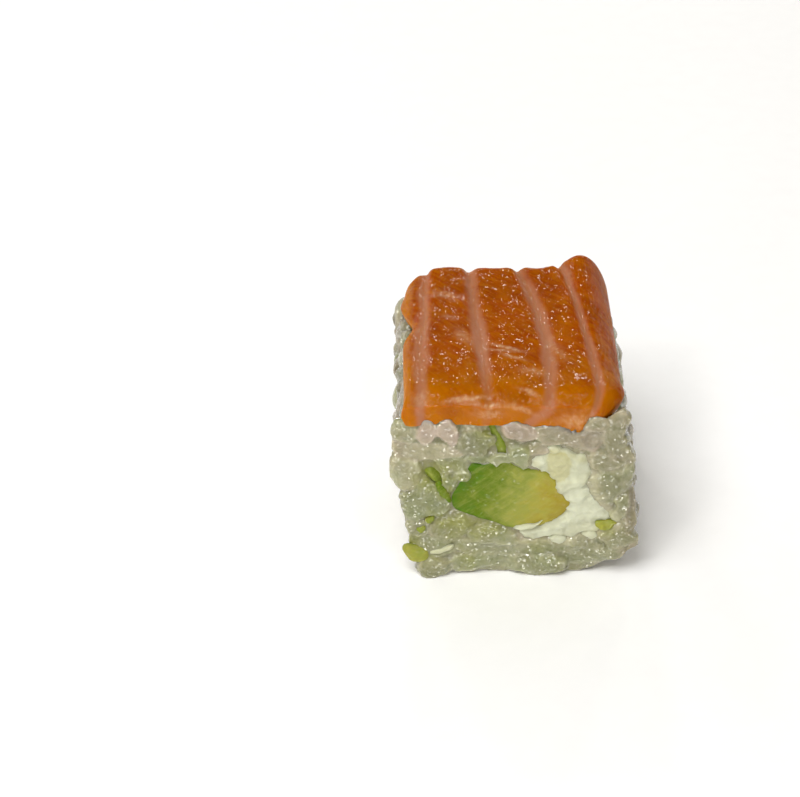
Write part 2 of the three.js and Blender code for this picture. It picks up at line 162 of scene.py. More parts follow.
# Avocado pressed into the rice of the front cut: how much, where, and the radius.
STAINS = [
    (0.85, -12.4, 20, 2.3), (0.75, -8.2, 10.6, 2), (0.65, -3.4, 9.2, 1.6), (0.6, -6, 9.4, 1.8),
    (0.5, -10.8, 10.2, 1.6), (0.4, -8.8, 7.8, 1.6), (0.7, -15.4, 6.2, 1.3), (0.4, -12.6, 3.4, 1.4),
    (0.55, -7, 3.2, 1.6), (0.5, -14.6, 18.4, 1.4), (0.75, -10.6, 16.6, 1.3), (0.6, -5, 27.8, 1.3),
    (0.7, -3, 25.6, 1.4), (0.4, -8.2, 19.6, 1.2), (0.3, -12.4, 12.2, 1.3), (0.6, 14.2, 9, 1.4),
    (0.35, 3.4, 5.4, 1.8), (0.35, -9.6, 22.3, 1.3), (0.3, 1.4, 24.6, 1),
]
# Folds of cheese on both cuts: how proud and how yellowed with whey each is, then its outline.
CHEESE_FOLDS = rows(2, [
    (1.2, 0, 4.1, 25.2, 5.2, 25.6, 6.4, 24.7, 6.1, 24.1, 4.7, 23.9),
    (1.1, 0, 1.8, 22.8, 2.8, 23.2, 4.2, 22.8, 4.3, 21.3, 3.6, 20.5, 2.5, 20.8, 1.7, 21.7),
    (0.9, 0.75, 4.4, 23.1, 5.3, 23.9, 6.7, 23.9, 7.8, 23.1, 7.9, 20.8, 7.5, 19.2, 5.8, 18.2,
     4.9, 19.5, 4.4, 21.3),
    (1.2, 0.05, 6.3, 24.7, 8.1, 23.9, 9.9, 23.4, 10.8, 21.9, 10.7, 20.3, 9.3, 19.2, 8.1, 20.3,
     7.8, 22.9),
    (1.3, 0.1, 5.6, 17.7, 6.9, 18.7, 9.3, 19.5, 10.9, 20.3, 11.3, 19.2, 10.2, 17.9, 8.2, 17.1,
     6.7, 16.1),
    (1.1, 0, 7, 15.9, 8.4, 17.2, 9.8, 17.7, 10.7, 16.7, 10.4, 14.6, 8.6, 13.4, 7.7, 14.3),
    (1, 0, 7.8, 13.6, 10.4, 14.8, 11.5, 15.1, 13.3, 13.4, 14.2, 12.4, 15.1, 11.1, 12.2, 10.5,
     9.4, 10, 6.9, 9.7, 7.7, 12),
    (1.1, 0, 0.9, 8.4, 3.3, 9, 5.3, 9.8, 7.8, 10.3, 8.3, 8.9, 7.9, 7.3, 6, 7.7, 3.4, 7, 1.6, 7),
    (1, 0.1, 7.7, 10, 10.6, 10.3, 12.3, 10, 13.2, 8.6, 11.9, 8.4, 10.7, 8.5, 8.3, 7.3),
    (0.9, 0.2, -0.5, 9.1, 0.5, 10, 2.7, 10.3, 1.9, 9.5, 0.5, 8.9),
])
# Pale bands across the slice: place at the front, slope, curve, groove width and how far the
# band sweeps left down the front cut.
SEAMS = [
    (-14.5, 0.2, 0.5, 2.4, 0), (-4.5, -2.2, 0.1, 2.2, 0.8), (4.2, 3.5, -6.7, 2.1, 2.3),
    (11.7, -0.9, -3.3, 1.4, 0.6),
]
# The width of the fat in each, from the front to the back, and how much it shows there.
FAT_WIDTHS = [
    (1.3, 2.3, 2.2, 1.6, 1.9), (1.1, 1.8, 2.3, 1.5, 1.8), (1.7, 1.9, 1.9, 1.9, 1.5),
    (1.3, 1.4, 1, 1, 0.8),
]
FAT_SHOWS = [
    (0.95, 0.9, 0.95, 0.85, 0.5), (0.3, 0.95, 1, 0.85, 0.9), (0.8, 0.95, 1, 0.95, 0.8),
    (0.85, 0.8, 0.85, 0.9, 0.7),
]
# Pale streaks on the salmon, partly white fat and partly painted sheen: place across and along the
# slice, direction in degrees, length, width and how much each shows.
FAT_AND_SHEEN_STREAKS = [
    (-7.6, 1, 8, 3.2, 0.28, 1), (-4.4, 0.2, -4, 3.4, 0.3, 0.6), (-4.6, -1.4, 0, 2.6, 1, 0.4),
    (0.2, -0.6, -28, 2.6, 0.5, 0.5), (1.4, 1.8, -24, 1.8, 0.3, 0.7), (2.2, 6.4, -15, 2.4, 0.8, 0.4),
    (-1.6, 12.5, -24, 2.8, 0.35, 0.9), (-0.6, 10, -24, 2.2, 0.3, 0.7),
    (-2.6, 11.8, -10, 2.4, 0.3, 0.6), (-10.3, 26.3, -12, 2.6, 1, 0.4),
    (-7.9, 15.4, -60, 2.6, 1, 0.4), (-9.8, 20.4, -30, 1.4, 0.5, 0.4), (5.9, 12, -70, 3, 0.8, 0.35),
    (-14.6, 1.2, 0, 1.6, 1, 0.4), (8.4, -2.2, 0, 3.4, 1.2, 0.5),
]


def linear(colour):
    """A hex colour as the eye reads it, in the linear values that shaders take."""
    parts = [int(colour[i : i + 2], 16) / 255 for i in (1, 3, 5)]
    return [p / 12.92 if p <= 0.04045 else ((p + 0.055) / 1.055) ** 2.4 for p in parts] + [1.0]


def colour_property(label, about, value):
    return FloatVectorProperty(
        name=label, description=about, default=linear(value), size=4, min=0, max=1, subtype="COLOR"
    )


def length_property(label, about, millimetres, low=1.0):
    return FloatProperty(
        name=label, description=about, default=millimetres * MM, min=low * MM, max=10 * MM,
        unit="LENGTH", subtype="DISTANCE", precision=5,
    )


class SushiSizes(bpy.types.PropertyGroup):
    grain_length: length_property("Grain length", "Length of one cooked grain of rice", 5.2)
    grain_width: length_property("Grain width", "Width of one cooked grain of rice", 3.0)
    grain_thickness: length_property("Grain thickness", "Thickness of one cooked grain", 2.6)
    rice_mesh: length_property("Rice detail", "Smallest form kept in the rice", 0.32, 0.2)
    filling_mesh: length_property("Filling detail", "Smallest form kept in the fillings", 0.3, 0.15)
    salmon_mesh: length_property("Salmon detail", "Spacing of the salmon's points", 0.3, 0.15)
    fibre_spacing: length_property("Fibre spacing", "From one fibre to the next", 0.65, 0.1)


class SushiColours(bpy.types.PropertyGroup):
    rice_clear: colour_property("Clear rice", "Rice that has taken up most water", "#777d53")
    rice_milky: colour_property("Milky rice", "Rice that is still opaque inside", "#b19f90")
    flesh: colour_property("Salmon flesh", "The muscle of the salmon", "#934000")
    fat: colour_property("Salmon fat", "The pale bands between the muscles", "#a56b4a")
    avocado_green: colour_property("Avocado green", "Flesh that lay under the skin", "#5c720c")
    avocado_yellow: colour_property("Avocado yellow", "Flesh that lay at the stone", "#9a933a")
    cheese: colour_property("Cream cheese", "The fresh cheese", "#c6c9b2")
    table: colour_property("Table", "The pale surface under the roll", "#fcfcfb")


# --- making meshes -------------------------------------------------------------------------


def bell(distance):
    return math.exp(-distance * distance)


def rough(co, *waves):
    """Noise at a place: the sum of waves, each given by its height and how close they come."""
    return sum(height * noise.noise(co * close) for height, close in waves)


def blend(low, high, share):
    return low + (high - low) * share


def clamp(value, low=0.0, high=1.0):
    return max(low, min(high, value))


def step(low, high, value):
    share = clamp((value - low) / (high - low))
    return share * share * (3 - 2 * share)


def outline(section, per_point=4, grow=0.0):
    """The smooth closed curve through a section's points, as (point, direction) pairs."""
    points = [Vector(p) for p in section]
    count = len(points)
    made = []
    for i in range(count):
        p = [points[(i + k - 1) % count] for k in range(4)]
        gaps = [math.sqrt((p[k + 1] - p[k]).length) for k in range(3)]
        leave, arrive = (
            (
                (p[k + 1] - p[k]) / gaps[k]
                - (p[k + 2] - p[k]) / (gaps[k] + gaps[k + 1])
                + (p[k + 2] - p[k + 1]) / gaps[k + 1]
            ) * gaps[1]
            for k in (0, 1)
        )
        square = -3 * p[1] + 3 * p[2] - 2 * leave - arrive
        cube = 2 * p[1] - 2 * p[2] + leave + arrive
        for k in range(per_point):
            t = k / per_point
            along = (leave + 2 * square * t + 3 * cube * t * t).normalized()
            place = p[1] + leave * t + square * t * t + cube * t * t * t
            made.append((place + Vector((along.y, -along.x)) * grow, along))
    return made


def inside(curve, x, z):
    """Whether a place on the cut lies within a closed curve."""
    found = False
    for k in range(len(curve)):
        a, b = curve[k - 1][0], curve[k][0]
        if (a.y > z) != (b.y > z) and x < a.x + (z - a.y) / (b.y - a.y) * (b.x - a.x):
            found = not found
    return found


def edge_distance(curve, x, z):
    return min((point - Vector((x, z))).length for point, _ in curve)


def bar(curve, front, back):
    """A closed curve drawn out from the front cut towards the back one, as a new bmesh."""
    bm = bmesh.new()
    face = bm.faces.new([bm.verts.new((point.x, front, point.y)) for point, _ in curve])
    grown = bmesh.ops.extrude_face_region(bm, geom=[face])["geom"]
    far = [g for g in grown if isinstance(g, bmesh.types.BMVert)]
    bmesh.ops.translate(bm, verts=far, vec=(0, back - front, 0))
    return bm


def add_grain(bm, at, along, out, size, kink, pressed, seed):
    """A ball drawn out along one direction, of that length, width and thickness. Kink is how far
    its surface strays, as a share of its width, and pressed how much its neighbours flatten."""
    along, out = Vector(along).normalized(), Vector(out).normalized()
    across = out.cross(along).normalized()
    out = along.cross(across)
    made = bmesh.ops.create_icosphere(bm, subdivisions=3, radius=1.0)["verts"]
    offset = Vector((seed * 7.31, seed * 3.7, -seed * 5.1))
    flats = [
        noise.noise_vector(offset + Vector((k * 1.7, 0.4, k * 0.9))).normalized()
        for k in range(7)
    ]
    turn = Matrix((along * size[0] / 2, across * size[1] / 2, out * size[2] / 2)).transposed()
    for v in made:
        for flat in flats:
            beyond = v.co.dot(flat) - (1 - pressed)
            if beyond > 0:
                v.co -= flat * beyond * 0.85
        v.co = turn @ v.co + Vector(at)
        v.co += noise.noise_vector(v.co * (1.1 / size[1]) + offset) * kink * size[1]
    return made


def mesh_of(bm):
    bmesh.ops.recalc_face_normals(bm, faces=bm.faces[:])
    mesh = bpy.data.meshes.new("shape")
    bm.to_mesh(mesh)
    bm.free()
    return mesh


def through_modifier(mesh, kind, cutters=(), **settings):
    """The mesh as a modifier leaves it. Each cutter is a mesh that is taken away from it."""
    scene = bpy.context.scene
    held = bpy.data.objects.new("work", mesh)
    scene.collection.objects.link(held)
    helpers = [bpy.data.objects.new("cutter", c) for c in cutters]
    for helper in helpers:
        scene.collection.objects.link(helper)
    for helper in helpers or [None]:
        made = held.modifiers.new(kind.title(), kind)
        for key, value in settings.items():
            setattr(made, key, value)
        if helper:
            made.object = helper
    graph = bpy.context.evaluated_depsgraph_get()
    result = bpy.data.meshes.new_from_object(held.evaluated_get(graph), depsgraph=graph)
    for used in [held, *helpers]:
        spent = used.data
        bpy.data.objects.remove(used)
        bpy.data.meshes.remove(spent)
    if not len(result.polygons):
        raise RuntimeError(f"{kind} left nothing of {mesh}")
    return result


def fused(bm, size):
    """Joins everything in the bmesh into one skin with forms down to that size."""
    settings = {"mode": "VOXEL", "voxel_size": size, "use_smooth_shade": True}
    return through_modifier(mesh_of(bm), "REMESH", **settings)


def cut_away(mesh, *cutters):
    return through_modifier(mesh, "BOOLEAN", cutters, operation="DIFFERENCE", solver="MANIFOLD")


def softened(mesh, times, factor=0.5):
    bm = bmesh.new()
    bm.from_mesh(mesh)
    axes = {f"use_axis_{axis}": True for axis in "xyz"}
    for _ in range(times):
        bmesh.ops.smooth_vert(bm, verts=bm.verts[:], factor=factor, **axes)
    bm.to_mesh(mesh)
    bm.free()
    return mesh


def worked(mesh, move):
    """Moves every vertex: move takes its place and normal and returns its new place."""
    normals = [v.vector.copy() for v in mesh.vertex_normals]
    for v, normal in zip(mesh.vertices, normals):
        v.co = move(v.co.copy(), normal)
    mesh.update()
    return mesh


def tagged(mesh, **rows_by_name):
    """Keeps one number for each vertex under each name, for the material to read."""
    for name, values in rows_by_name.items():
        mesh.attributes.new(name, "FLOAT", "POINT").data.foreach_set("value", values)


def place_piece(name, mesh, material, slot, *nodes):
    """Turns a mesh in millimetres into a piece in metres, in its place on the roll."""
    mesh.transform(Matrix.Translation((-MIDDLE_X * MM, 0, 0)) @ Matrix.Scale(MM, 4))
    mesh.name = name
    mesh.materials.clear()
    mesh.materials.append(material)
    mesh.shade_smooth()
    mesh.set_sharp_from_angle(angle=math.radians(60))
    old = bpy.data.objects.get(name)
    if old:
        bpy.data.objects.remove(old)
    piece = bpy.data.objects.new(name, mesh)
    bpy.context.scene.collection.objects.link(piece)
    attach(piece, "root")
    if nodes:
        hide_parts(*nodes)
    return piece


# --- materials -----------------------------------------------------------------------------


def add(tree, kind, inputs=(), **settings):
    """Adds a node: settings by name, inputs by socket name or number as a value or a socket."""
    made = tree.nodes.new("ShaderNode" + kind)
    for key, value in settings.items():
        setattr(made, key, value)
    for key, value in dict(inputs).items():
        if isinstance(value, bpy.types.NodeSocket):
            tree.links.new(value, made.inputs[key])
        else:
            made.inputs[key].default_value = value
    return made


def new_material(name):
    """A material without nodes, its tree, and the place on the piece in metres."""
    old = bpy.data.materials.get(name)
    if old:
        bpy.data.materials.remove(old)
    material = bpy.data.materials.new(name)
    material.use_nodes = True
    tree = material.node_tree
    tree.nodes.clear()
    return material, tree, add(tree, "TexCoord").outputs["Object"]


def surfaced(material, values):
    """The material with a surface of those values."""
    shader = add(material.node_tree, "BsdfPrincipled", values)
    add(material.node_tree, "OutputMaterial", {0: shader.outputs[0]})
    return material


def kept(tree, name):
    """The number that the mesh keeps under that name."""
    return add(tree, "Attribute", attribute_name=name).outputs["Fac"]


def mixed(tree, share, low, high):
    return add(tree, "Mix", {0: share, 6: low, 7: high}, data_type="RGBA").outputs[2]


def ranged(tree, value, low, high, least=0.0, most=1.0, kind="SMOOTHSTEP"):
    """Takes what lies from low to high to least to most."""
    inputs = {0: value, 1: low, 2: high, 3: least, 4: most}
    return add(tree, "MapRange", inputs, interpolation_type=kind).outputs[0]


def per_mm(size):
    """The scale of a texture on coordinates in metres whose features are that many mm apart."""
    return 1 / (size * MM)


def clouds(tree, place, size, detail=2.0, roughness=0.5, distortion=0.0):
    """Soft noise with features that many mm apart."""
    inputs = {"Vector": place, "Scale": per_mm(size), "Detail": detail, "Roughness": roughness}
    return add(tree, "TexNoise", {**inputs, "Distortion": distortion}).outputs[0]


def relief(tree, height, millimetres, strength):
    inputs = {"Height": height, "Distance": millimetres * MM, "Strength": strength}
    return add(tree, "Bump", inputs).outputs[0]


def wet_facets(tree, place, facet, tilt, patch, part, wet):
    """The normal of a wet film that has settled into small flat facets, each tilted its own way
    and most of them up a little: a lamp then shows in a few of them as a sparkle. The film is
    thicker in patches: part is where they begin and end, wet how much they tilt."""
    mask = ranged(tree, clouds(tree, place, patch), *part, *wet)
    cells = {"Vector": place, "Scale": per_mm(facet), "Randomness": 1.0}
    own = add(tree, "TexVoronoi", cells).outputs["Color"]
    amount = add(tree, "Math", {0: mask, 1: tilt}, operation="MULTIPLY").outputs[0]

    def vector(operation, first, second):
        return add(tree, "VectorMath", {0: first, **second}, operation=operation).outputs[0]

    lean = vector("SUBTRACT", own, {1: (0.5, 0.5, 0.14)})
    leaning = vector("SCALE", lean, {"Scale": amount})
    # Normals snapped to steps make each facet flat, however round the grain under it is.
    snapped = vector("SNAP", add(tree, "NewGeometry").outputs["Normal"], {1: (0.2, 0.2, 0.2)})
    centred = vector("ADD", snapped, {1: (0.1, 0.1, 0.1)})
    return vector("NORMALIZE", vector("ADD", centred, {1: leaning}), {})


def rice_material(colours):
    """Cooked short-grain rice: starch gel, milky where a grain has kept its heart and glassy where
    it has soaked up water, with painted pale rims and painted shade carried in the same tone, under
    a thin wet film that breaks up into sparkles."""
    material, tree, place = new_material("cooked_rice_pressed")

    def varied(name, reach, *cloud):
        drift = ranged(tree, clouds(tree, place, *cloud), 0.25, 0.75, -reach, reach, "LINEAR")
        inputs = {0: drift, 1: kept(tree, name)}
        return add(tree, "Math", inputs, operation="ADD", use_clamp=True).outputs[0]

    milkiness_and_painted_light, blush = varied("tone", 0.26, 1.7, 4.0, 0.6), varied("warmth", 0.15, 3.7)
    glassy = mixed(tree, blush, colours.rice_clear, linear("#776b54"))
    opaque = mixed(tree, blush, linear("#acac88"), colours.rice_milky)
    plain = mixed(tree, milkiness_and_painted_light, glassy, opaque)
    return surfaced(material, {
        "Base Color": mixed(tree, kept(tree, "stain"), plain, linear("#7f8226")),
        "Roughness": 0.25, "IOR": 1.4, "Specular IOR Level": 0.5,
        "Normal": relief(tree, clouds(tree, place, 1.1, 5.0, 0.65), 0.2, 0.7),
        "Subsurface Weight": 1.0, "Subsurface Radius": (1.0, 1.0, 0.8),
        "Subsurface Scale": 1.5 * MM, "Coat Weight": 1.0, "Coat Roughness": 0.1, "Coat IOR": 1.55,
        "Coat Normal": wet_facets(tree, place, 0.28, 1.2, 3.0, (0.4, 0.55), (0.7, 1.05)),
    })


def salmon_material(colours, sizes):
    """Raw salmon, knife-cut: dense translucent muscle in fine slanting fibres, with soft pale
    bands of fat between the muscles, and a wet skin with tiny sparkles."""
    material, tree, place = new_material("raw_salmon_knife_cut")
    # The map is 1 across for each millimetre; a fibre is spacing wide and several mm long.
    spacing = sizes.fibre_spacing / MM
    fibres = add(tree, "UVMap", uv_map="fibres").outputs[0]
    drawn = add(tree, "Mapping", {"Vector": fibres, "Scale": (1 / spacing, 0.16 / spacing, 1)})
    strand = clouds(tree, drawn.outputs[0], 1 / MM, 3.0, 0.6, 0.8)
    depth = ranged(tree, clouds(tree, place, 6, 3.0, 0.55), 0.3, 0.7)
    muscle = mixed(tree, depth, linear("#833700"), colours.flesh)
    # Golder towards the front of the slice, and at its left edge as a painted highlight.
    ripe = mixed(tree, kept(tree, "golden"), muscle, linear("#a86000"))
    lined = mixed(tree, ranged(tree, strand, 0.38, 0.8, 0.0, 0.5), ripe, linear("#b26800"))
    marbled = mixed(tree, kept(tree, "fat"), lined, colours.fat)
    return surfaced(material, {
        # Pale streaks, partly white fat and partly painted sheen.
        "Base Color": mixed(tree, kept(tree, "scraped"), marbled, linear("#cfae88")),
        "Roughness": 0.4, "IOR": 1.4, "Specular IOR Level": 0.0,
        "Normal": relief(tree, strand, 0.08, 0.4),
        "Subsurface Weight": 0.7, "Subsurface Radius": (1.0, 0.45, 0.2),
        "Subsurface Scale": 0.8 * MM, "Coat Weight": 0.32, "Coat Roughness": 0.1, "Coat IOR": 1.45,
        "Coat Normal": wet_facets(tree, place, 0.22, 0.6, 4.0, (0.38, 0.56), (0.25, 1.0)),
    })


def avocado_material(colours):
    """Ripe avocado, knife-cut: smooth buttery flesh, green under the skin and yellow at the
    stone, drawn into faint streaks by the blade and shining with oil."""
    material, tree, place = new_material("ripe_avocado_knife_cut")
    pull = {"Vector": place, "Rotation": (0, math.radians(-40), 0), "Scale": (5, 1, 1)}
    drawn = add(tree, "Mapping", pull, vector_type="TEXTURE").outputs[0]
    streak = clouds(tree, drawn, 0.8, 4.0, 0.65)
    inputs = {0: clouds(tree, place, 2.4, 4.0, 0.6, 0.4), 1: 0.6, 2: kept(tree, "ripeness")}
    share = add(tree, "Math", inputs, operation="MULTIPLY_ADD").outputs[0]
    base = add(tree, "ValToRGB", {0: share})
    ramp = base.color_ramp.elements
    ramp[0].position, ramp[0].color = 0.2, linear("#487006")
    ramp[1].position, ramp[1].color = 0.96, linear("#95862a")
    ramp.new(0.4).color = colours.avocado_green
    ramp.new(0.64).color = linear("#8b9040")
    ramp.new(0.82).color = colours.avocado_yellow
    lines = ranged(tree, streak, 0.45, 0.75, 0.0, 0.28)
    return surfaced(material, {
        "Base Color": mixed(tree, lines, base.outputs[0], linear("#aeab5c")),
        "Roughness": 0.45, "IOR": 1.43, "Specular IOR Level": 0.05,
        "Normal": relief(tree, streak, 0.12, 0.6),
        "Subsurface Weight": 0.6, "Subsurface Radius": (0.8, 1.0, 0.3),
        "Subsurface Scale": 0.7 * MM, "Coat Weight": 0.4, "Coat Roughness": 0.1, "Coat IOR": 1.4,
        "Coat Normal": wet_facets(tree, place, 0.3, 1.0, 4.0, (0.45, 0.6), (0.1, 1.0)),
    })


def cheese_material(colours):
    """Fresh cream cheese, pressed in and torn by the knife: bright, matt and slightly grainy,
    a little yellower where whey has gathered."""
    material, tree, place = new_material("cream_cheese_pressed")
    share = ranged(tree, clouds(tree, place, 2.6, 3.0, 0.6), 0.35, 0.68, 0.0, 0.8)
    mottled = mixed(tree, share, colours.cheese, linear("#b2b49b"))
    film = relief(tree, clouds(tree, place, 0.5, 3.0, 0.7), 0.18, 0.6)
    return surfaced(material, {
        "Base Color": mixed(tree, kept(tree, "whey"), mottled, linear("#b1ad7a")),
        "Roughness": 0.55, "IOR": 1.4, "Normal": film,
        "Subsurface Weight": 0.7, "Subsurface Radius": (1.0, 0.95, 0.8),
        "Subsurface Scale": 0.6 * MM, "Coat Weight": 0.15, "Coat Roughness": 0.3,
        "Coat IOR": 1.35, "Coat Normal": film,
    })


def table_material(colours):
    """Pale table top, matt painted: flat and even, with a roller's faint orange peel."""
    material, tree, place = new_material("table_top_matt_painted")
    peel = clouds(tree, place, 4)
    share = ranged(tree, peel, 0.3, 0.7, kind="LINEAR")
    return surfaced(material, {
        "Base Color": mixed(tree, share, colours.table, linear("#fefefd")),
        "Roughness": 0.7, "Normal": relief(tree, peel, 0.03, 0.3),
    })


# --- rice ----------------------------------------------------------------------------------


def add_tile(bm, corners, face, floor, proud, seed, root=0.9):
    """A grain or fold pressed flat on a cut: its outline there, rounded over towards the eye and
    proud of the floor, on a root of that share of its width."""
    curve = [point for point, _ in outline(corners, 3)]
    for point in curve:
        point += noise.noise_vector(Vector((point.x * 0.8, seed, point.y * 0.8))).xz * 0.3
    middle = sum(curve, Vector((0, 0))) / len(curve)
    tilt = noise.noise_vector(Vector((seed * 3.1, seed * 1.7, 4.2))) * 0.28
    rings = []
    dome = ((1.02, 0.32), (0.9, 0.66), (0.7, 0.9), (0.4, 1))
    for share, rise in ((root, -1.2), (1.1, 0.0), *((share, rise * proud) for share, rise in dome)):
        ring = []
        for point in curve:
            x, z = middle.lerp(point, share)
            lean = tilt.x * (x - middle.x) + tilt.z * (z - middle.y) if rise > 0 else 0
            ring.append(bm.verts.new((x, face * (floor + rise + lean), z)))
        rings.append(ring)
    for low, high in zip(rings, rings[1:]):
        for k in range(len(curve)):
            bm.faces.new((low[k - 1], low[k], high[k], high[k - 1]))
    bm.faces.new(rings[0])
    bm.faces.new(rings[-1])


def traced(table):
    """Each row's outline with its box, for looking up which of them lies at a place."""
    made = []
    for row in table:
        xs, zs = zip(*row[-1])
        box = (min(xs) - 0.4, max(xs) + 0.4, min(zs) - 0.4, max(zs) + 0.4)
        made.append((outline(row[-1], 3), *box, row[1:-1]))
    return made


def tile_values(tiles, x, z, resting):
    """The values of the tiles at a place on the cut, and how near the rim of one it is."""
    total, rim = 0.15, 0.0
    sums = [0.15 * value for value in resting]
    for curve, low_x, high_x, low_z, high_z, values in tiles:
        if low_x < x < high_x and low_z < z < high_z:
            away = edge_distance(curve, x, z)
            within = step(-0.3, 0.3, away if inside(curve, x, z) else -away)
            rim = max(rim, bell(away / 0.45) * within)
            total += within
            sums = [s + within * value for s, value in zip(sums, values)]
    return [s / total for s in sums], rim


def lying(stream, out):
    """A random direction for a grain that lies on a surface, with a slight tilt."""
    out = Vector(out).normalized()
    side = out.orthogonal().normalized()
    turn = stream.uniform(0, math.tau)
    along = side * math.cos(turn) + out.cross(side) * math.sin(turn)
    return (along + out * stream.uniform(-0.12, 0.12)).normalized()


def back_grains(stream, size):
    """Grains over the back cut, round the fillings: place, direction, outward, size."""
    rim = outline(RICE_SECTION, 3)
    fillings = [outline(s, 3) for s in (AVOCADO_SECTION, CHEESE_SECTION, SLIVER_SECTION)]
    made, taken = [], []
    for _ in range(900):
        x, z = stream.uniform(-18, 18.6), stream.uniform(0.8, 29)
        if not inside(rim, x, z) or edge_distance(rim, x, z) < 1.1:
            continue
        if any(inside(f, x, z) or edge_distance(f, x, z) < 1.0 for f in fillings):
            continue
        if any((x - a) ** 2 + (z - b) ** 2 < 2.7**2 for a, b in taken):
            continue
        taken.append((x, z))
        scale = stream.uniform(0.82, 1.08)
        depth = HALF - RICE_BACK + stream.uniform(-0.15, 0.15)
        out = Vector((0, 1, 0))
        made.append((Vector((x, depth, z)), lying(stream, out), out, [s * scale for s in size]))
    return made


def flank_grains(stream, size):
    """Grains over the two flanks and the underside."""
    rim = outline(RICE_SECTION, 12)
    made, taken = [], []
    for _ in range(6000):
        point, along = rim[stream.randrange(len(rim))]
        out = Vector((along.y, 0, -along.x))
        if point.y > 28.4 and out.z > 0.6:
            continue
        y = stream.uniform(-15.4, 16.2) if point.y > 3 else stream.uniform(-14.2, 14.6)
        place = Vector((point.x, y, max(point.y, 0.9)))
        if any((place - other).length_squared < 2.75**2 for other in taken):
            continue
        taken.append(place)
        scale = stream.uniform(0.82, 1.1)
        sunk = 0.62 + stream.uniform(-0.3, 0.25)
        made.append((place - out * sunk, lying(stream, out), out, [s * scale for s in size]))
    return made


def knife_cut(co):
    """Flattens what stands too far out of a knife cut or under the roll."""
    bulge = 0.75 * step(4.0, 1.5, co.z) if co.y < 0 else 0.0
    for limit, axis in ((CUT_LIMIT + bulge, 1), (SIDE_LIMIT, 0)):
        if abs(co[axis]) > limit:
            co[axis] = math.copysign(limit + 0.25 * (abs(co[axis]) - limit), co[axis])
    co.z = max(co.z, 0.0)
    return co


def grain_plan(sizes):
    """The grains of the flanks and the back cut, sorted into soft, milky and clear ones."""
    size = [s / MM for s in (sizes.grain_length, sizes.grain_width, sizes.grain_thickness)]
    stream = random.Random(11)
    plan = {"soft": [], "milky": [], "clear": []}
    for grain in back_grains(stream, size) + flank_grains(stream, size):
        draw = stream.random()
        kind = "milky" if draw < 0.16 else "clear" if draw < 0.34 else "soft"
        if kind != "soft":
            grain = (grain[0] + grain[2] * 0.12, *grain[1:])
        plan[kind].append(grain)
    return plan


def salmon_point(side, depth, level, lift=0.0):
    """A place on the slice. Side runs from -1 at its left edge to 1 at its right one, depth from
    0 at the front cut to 1 at the back one, and level from 0 underneath to 1 on top."""
    left = side < 0
    if left:
        drawn_in = 1.5 * bell((depth - 0.62) / 0.1) - 0.5 * bell((depth - 0.82) / 0.07)
        drawn_in -= 1.1 * max(0, 1 - depth / 0.1) ** 2
    else:
        drawn_in = 2.3 * max(0, 1 - depth / 0.1) ** 2
        drawn_in += 0.35 * math.sin(31 * depth) * step(0.3, 0.1, depth)
    flat = (blend(14.8, 10.8, depth) if left else blend(11.6, 10.3, depth)) - drawn_in
    turn = math.radians(blend(24, 84, depth) if left else blend(50, 84, depth))
    outer = SLICE_BEND + SLICE_THICK
    reach = flat + outer * turn
    across = abs(side) * reach
    curled = max(0, across - flat)
    signed = -across if left else across
    thick = blend(SLICE_THICK, 3.1 if left else 2.2, (curled / (reach - flat)) ** 2)
    groove = blend(0.3, 0.85, depth)
    thick -= sum(groove * bell(1.3 * seam_distance(signed, depth, seam)) for seam in SEAMS)
    thick += 2.3 * bell((signed - 10.8) / 3.2) * bell((1 - depth) / 0.34)
    thick -= 1.7 * max(0, 1 - depth / 0.11) ** 2.2 + 0.5 * max(0, 1 - (1 - depth) / 0.05) ** 2
    thick -= 0.8 * max(0, abs(side) - 0.94) / 0.06
    droop = (1.0 + 1.3 * bell((signed - 7.5) / 5)) * bell(depth / 0.045)
    height = blend(-droop, thick + lift, level)
    radius = SLICE_BEND + height
    bent = curled / outer
    x = min(across, flat) + radius * math.sin(bent)
    uneven = 0.25 * (math.sin(0.55 * signed + 1) + 0.6 * math.sin(1.3 * signed))
    edge = HALF - 0.3 + uneven * (depth - 0.5)
    y = blend(-edge, edge, depth)
    z = RICE_TOP + SLICE_GAP - SLICE_BEND + radius * math.cos(bent)
    return Vector((-x if left else x, y, z)), signed


def along_row(values, share):
    """A value from a row spread evenly from the front of the slice to its back."""
    at = clamp(share, 0, 0.9999) * (len(values) - 1)
    return blend(values[int(at)], values[int(at) + 1], at % 1)


def seam_distance(across, depth, seam):
    at, slope, curve, width, sweep = seam
    line = at + slope * depth + curve * depth * depth - sweep * step(0.01, -0.12, depth)
    return (across - line) / (width / 2)


def salmon_block(across, along, layers):
    """The slice as a closed block of that many quads each way, with side and depth kept."""
    bm = bmesh.new()
    bmesh.ops.create_cube(bm, size=2)
    for axis, cuts in enumerate((across - 1, along - 1, layers - 1)):
        runs = {e: (e.verts[1].co - e.verts[0].co).normalized() for e in bm.edges}
        parallel = [e for e in bm.edges if abs(runs[e][axis]) > 0.9]
        bmesh.ops.subdivide_edges(bm, edges=parallel, cuts=cuts, use_grid_fill=True)
    return bm


# --- operators -----------------------------------------------------------------------------


def chosen(context):
    """The sizes and the colours that the user has set."""
    return context.scene.sushi_sizes, context.scene.sushi_colours


